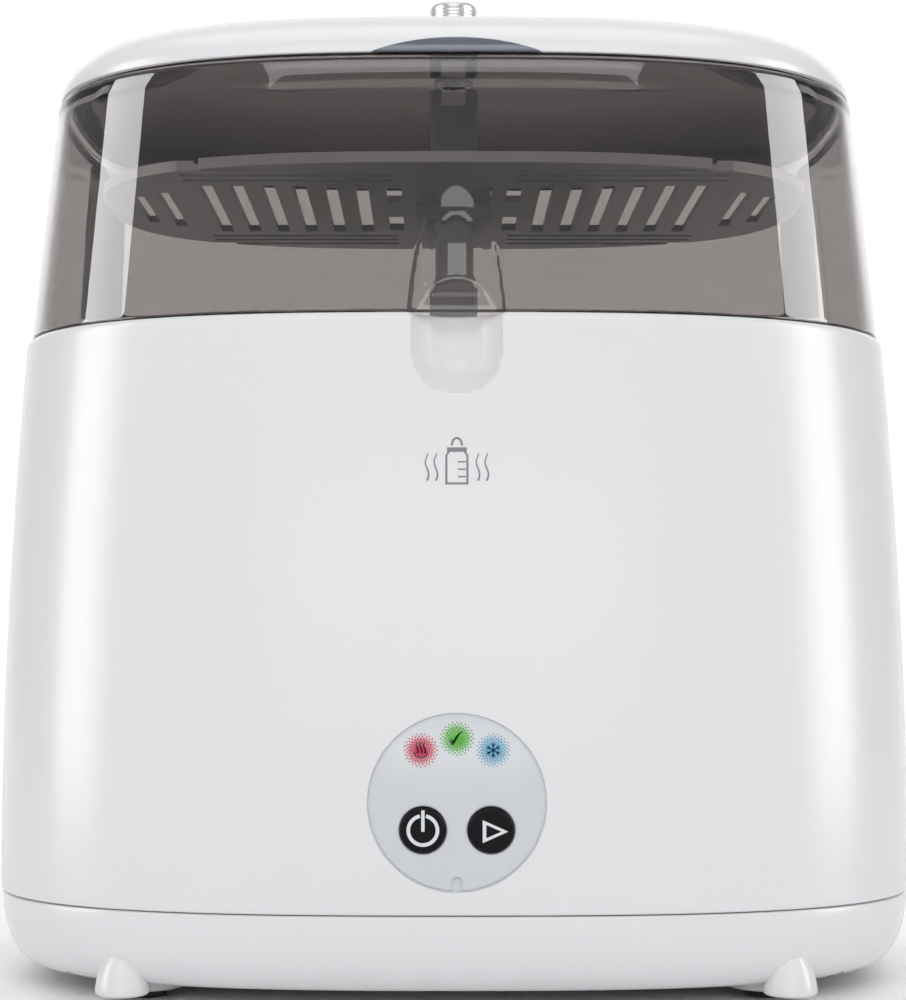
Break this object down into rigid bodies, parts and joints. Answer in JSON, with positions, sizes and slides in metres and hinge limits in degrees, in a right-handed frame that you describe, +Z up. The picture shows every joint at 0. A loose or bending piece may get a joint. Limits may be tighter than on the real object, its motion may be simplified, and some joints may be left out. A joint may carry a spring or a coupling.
{
  "type": "bottle sterilizer",
  "caption": "Countertop electric steam sterilizer for baby bottles: white oval body, smoke-tinted hinged lid with white cap, vent knob, round control panel and inner racks",
  "frame": {"origin": "centre of the footprint, on the plane the rubber feet stand on", "axes": "+Z up, the front with the control panel faces -Y, +X to the viewer's right"},
  "size_m": [0.3024, 0.2146, 0.329],
  "materials": {
    "white_gloss": "high-gloss white moulded plastic",
    "smoke_tint": "clear smoke-grey tinted polycarbonate",
    "grey_tray": "satin light grey polypropylene",
    "liner_grey": "satin dark grey polypropylene",
    "chrome": "bright chrome with turned rings",
    "steel": "brushed stainless steel",
    "zinc_steel": "zinc-plated steel",
    "aluminium": "cast, bead blasted",
    "black_rubber": "matte black rubber",
    "silicone": "translucent white silicone",
    "button_black": "gloss black button cap",
    "panel_grey": "pale grey satin panel",
    "lens_red": "red indicator lens",
    "lens_green": "green indicator lens",
    "lens_blue": "light blue indicator lens",
    "board_green": "circuit board with solder mask",
    "black_plastic": "black moulded plastic",
    "relay_blue": "blue relay case",
    "led_clear": "clear epoxy"
  },
  "bodies": {
    "housing": {"body_shell": "white_gloss", "base_pan": "white_gloss", "base_screws": "zinc_steel", "chamber_liner": "liner_grey", "plate_seal": "silicone", "heating_plate": "steel", "heat_spreader": "aluminium", "heating_element": "steel", "clamp_ring": "zinc_steel", "clamp_screws": "zinc_steel", "thermostat": "steel", "thermal_fuse": "zinc_steel", "panel_disc": "panel_grey", "control_board": "board_green", "board_screws": "zinc_steel", "key_switches": "black_plastic", "indicator_leds": "led_clear", "power_board": "board_green", "power_board_screws": "zinc_steel", "power_relay": "relay_blue", "transformer": "black_plastic", "terminal_block": "board_green", "cord_gland": "black_plastic", "gland_nut": "black_plastic", "hinge_bracket": "white_gloss", "hinge_pins": "steel", "bracket_screws": "steel", "lower_rack": "grey_tray", "mast": "grey_tray", "foot_rear_right": "black_rubber", "foot_rear_left": "black_rubber", "foot_front_left": "black_rubber", "foot_front_right": "black_rubber", "steam_lens": "lens_red", "ready_lens": "lens_green", "cooling_lens": "lens_blue"},
    "lid": {"lid_window": "smoke_tint", "lid_cap": "white_gloss", "vent_knob": "chrome", "vent_gasket": "silicone", "vent_nut": "black_plastic", "lid_hinge_arms": "white_gloss", "lid_screws": "steel"},
    "tray": {"upper_tray": "grey_tray"},
    "power_key": {"power_button": "button_black"},
    "start_key": {"start_button": "button_black"}
  },
  "joints": [
    {"name": "lid_hinge", "type": "hinge", "parent": "housing", "child": "lid", "pos_m": [0, 0.10285, 0.208], "axis": [-1, 0, 0], "range_deg": [0, 85]},
    {"name": "tray_height", "type": "slide", "parent": "housing", "child": "tray", "axis": [0, 0, 1], "range_m": [-0.036, 0]},
    {"name": "power_press", "type": "slide", "parent": "housing", "child": "power_key", "axis": [0, 1, 0], "range_m": [0, 0.0009], "stiffness_N_per_m": 1500, "springref_m": -0.0006},
    {"name": "start_press", "type": "slide", "parent": "housing", "child": "start_key", "axis": [0, 1, 0], "range_m": [0, 0.0009], "stiffness_N_per_m": 1500, "springref_m": -0.0006}
  ]
}
